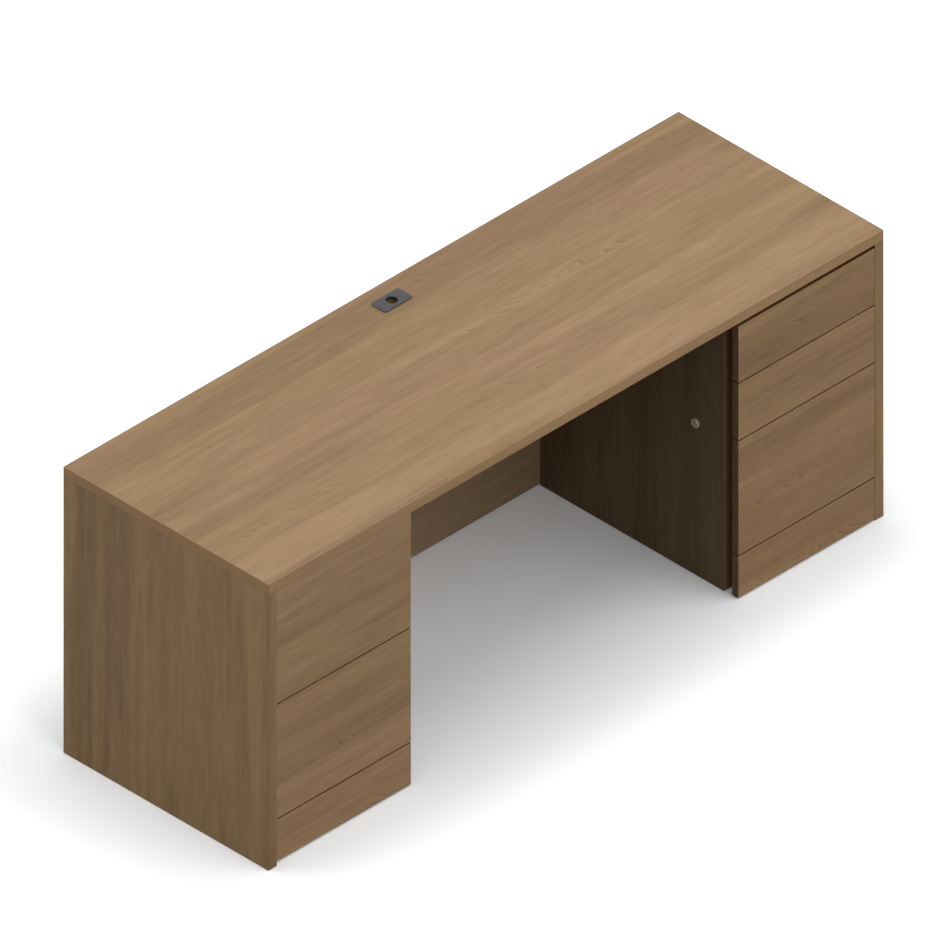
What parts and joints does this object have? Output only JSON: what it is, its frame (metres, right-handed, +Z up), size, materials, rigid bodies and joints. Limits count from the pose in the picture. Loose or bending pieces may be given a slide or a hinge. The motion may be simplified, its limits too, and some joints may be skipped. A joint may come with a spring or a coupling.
{
  "type": "kneespace credenza",
  "caption": "Long wood-laminate office credenza: drawer pedestals either side of an open kneespace, side finger pulls, pedestal locks and a cable grommet in the top.",
  "frame": {"origin": "middle of the outline on the floor", "axes": "+X to the user's right along the length, +Y from the drawer fronts to the back, +Z up"},
  "size_m": [1.8288, 0.6096, 0.7396],
  "materials": {
    "laminate": "satin wood-grain laminate",
    "edge_band": "satin wood-grain edging",
    "inner_board": "plain melamine board",
    "drawer_board": "matching melamine board",
    "hardboard": "smooth hardboard",
    "raw_wood": "raw hardwood",
    "bright_steel": "zinc-plated steel",
    "hanger_steel": "black powder coat",
    "zinc": "die-cast zinc",
    "nickel": "satin nickel plate",
    "nylon": "moulded nylon",
    "grommet_plastic": "moulded dark grey plastic"
  },
  "bodies": {
    "case": {"worksurface": "laminate", "worksurface_edge_bands": "edge_band", "left_end_panel": "laminate", "right_end_panel": "laminate", "left_gable": "laminate", "right_gable": "laminate", "back_panel": "laminate", "left_plinth": "laminate", "right_plinth": "laminate", "left_pedestal_floor": "inner_board", "right_pedestal_floor": "inner_board", "plinth_cleats": "raw_wood", "dowels": "raw_wood", "cam_posts": "bright_steel", "cam_discs": "zinc", "floor_glides": "nylon", "cable_grommet": "grommet_plastic", "left_cabinet_rails": "bright_steel", "right_cabinet_rails": "bright_steel", "lock_cylinders": "nickel", "lock_bar_guides": "bright_steel"},
    "left_lock_plug": {"left_lock_plug": "nickel"},
    "right_lock_plug": {"right_lock_plug": "nickel"},
    "left_lock_bar": {"left_lock_bar": "bright_steel"},
    "right_lock_bar": {"right_lock_bar": "bright_steel"},
    "left_lower_file_drawer": {"left_lower_file_front": "laminate", "left_lower_file_sides": "drawer_board", "left_lower_file_ends": "drawer_board", "left_lower_file_bottom": "hardboard", "left_lower_file_drawer_rails": "bright_steel", "left_lower_file_hanger_bars": "hanger_steel"},
    "left_lower_file_middle": {"left_lower_file_middle_rails": "bright_steel"},
    "left_upper_file_drawer": {"left_upper_file_front": "laminate", "left_upper_file_sides": "drawer_board", "left_upper_file_ends": "drawer_board", "left_upper_file_bottom": "hardboard", "left_upper_file_drawer_rails": "bright_steel", "left_upper_file_hanger_bars": "hanger_steel"},
    "left_upper_file_middle": {"left_upper_file_middle_rails": "bright_steel"},
    "right_file_drawer": {"right_file_front": "laminate", "right_file_sides": "drawer_board", "right_file_ends": "drawer_board", "right_file_bottom": "hardboard", "right_file_drawer_rails": "bright_steel", "right_file_hanger_bars": "hanger_steel"},
    "right_file_middle": {"right_file_middle_rails": "bright_steel"},
    "right_lower_box_drawer": {"right_lower_box_front": "laminate", "right_lower_box_sides": "drawer_board", "right_lower_box_ends": "drawer_board", "right_lower_box_bottom": "hardboard", "right_lower_box_drawer_rails": "bright_steel"},
    "right_lower_box_middle": {"right_lower_box_middle_rails": "bright_steel"},
    "right_upper_box_drawer": {"right_upper_box_front": "laminate", "right_upper_box_sides": "drawer_board", "right_upper_box_ends": "drawer_board", "right_upper_box_bottom": "hardboard", "right_upper_box_drawer_rails": "bright_steel"},
    "right_upper_box_middle": {"right_upper_box_middle_rails": "bright_steel"}
  },
  "joints": [
    {"name": "left_lower_file_slide", "type": "slide", "parent": "case", "child": "left_lower_file_drawer", "axis": [0, -1, 0], "range_m": [0, 0.48]},
    {"name": "left_lower_file_middle_slide", "type": "slide", "parent": "case", "child": "left_lower_file_middle", "axis": [0, -1, 0], "range_m": [0, 0.24]},
    {"name": "left_upper_file_slide", "type": "slide", "parent": "case", "child": "left_upper_file_drawer", "axis": [0, -1, 0], "range_m": [0, 0.48]},
    {"name": "left_upper_file_middle_slide", "type": "slide", "parent": "case", "child": "left_upper_file_middle", "axis": [0, -1, 0], "range_m": [0, 0.24]},
    {"name": "right_file_slide", "type": "slide", "parent": "case", "child": "right_file_drawer", "axis": [0, -1, 0], "range_m": [0, 0.48]},
    {"name": "right_file_middle_slide", "type": "slide", "parent": "case", "child": "right_file_middle", "axis": [0, -1, 0], "range_m": [0, 0.24]},
    {"name": "right_lower_box_slide", "type": "slide", "parent": "case", "child": "right_lower_box_drawer", "axis": [0, -1, 0], "range_m": [0, 0.48]},
    {"name": "right_lower_box_middle_slide", "type": "slide", "parent": "case", "child": "right_lower_box_middle", "axis": [0, -1, 0], "range_m": [0, 0.24]},
    {"name": "right_upper_box_slide", "type": "slide", "parent": "case", "child": "right_upper_box_drawer", "axis": [0, -1, 0], "range_m": [0, 0.48]},
    {"name": "right_upper_box_middle_slide", "type": "slide", "parent": "case", "child": "right_upper_box_middle", "axis": [0, -1, 0], "range_m": [0, 0.24]},
    {"name": "left_lock_turn", "type": "hinge", "parent": "case", "child": "left_lock_plug", "pos_m": [-0.4826, -0.1783, 0.39205], "axis": [1, 0, 0], "range_deg": [0, 90]},
    {"name": "left_lock_bar_slide", "type": "slide", "parent": "case", "child": "left_lock_bar", "axis": [0, 0, 1], "range_m": [0, 0.00707]},
    {"name": "right_lock_turn", "type": "hinge", "parent": "case", "child": "right_lock_plug", "pos_m": [0.4826, -0.1783, 0.39205], "axis": [1, 0, 0], "range_deg": [0, 90]},
    {"name": "right_lock_bar_slide", "type": "slide", "parent": "case", "child": "right_lock_bar", "axis": [0, 0, 1], "range_m": [0, 0.00707]}
  ],
  "couplings": [
    {"joint": "left_lower_file_middle_slide", "follows": "left_lower_file_slide", "ratio": 0.5},
    {"joint": "left_upper_file_middle_slide", "follows": "left_upper_file_slide", "ratio": 0.5},
    {"joint": "right_file_middle_slide", "follows": "right_file_slide", "ratio": 0.5},
    {"joint": "right_lower_box_middle_slide", "follows": "right_lower_box_slide", "ratio": 0.5},
    {"joint": "right_upper_box_middle_slide", "follows": "right_upper_box_slide", "ratio": 0.5},
    {"joint": "left_lock_turn", "follows": "left_lock_bar_slide", "rad_per_m": 222.14},
    {"joint": "right_lock_turn", "follows": "right_lock_bar_slide", "rad_per_m": 222.14}
  ]
}
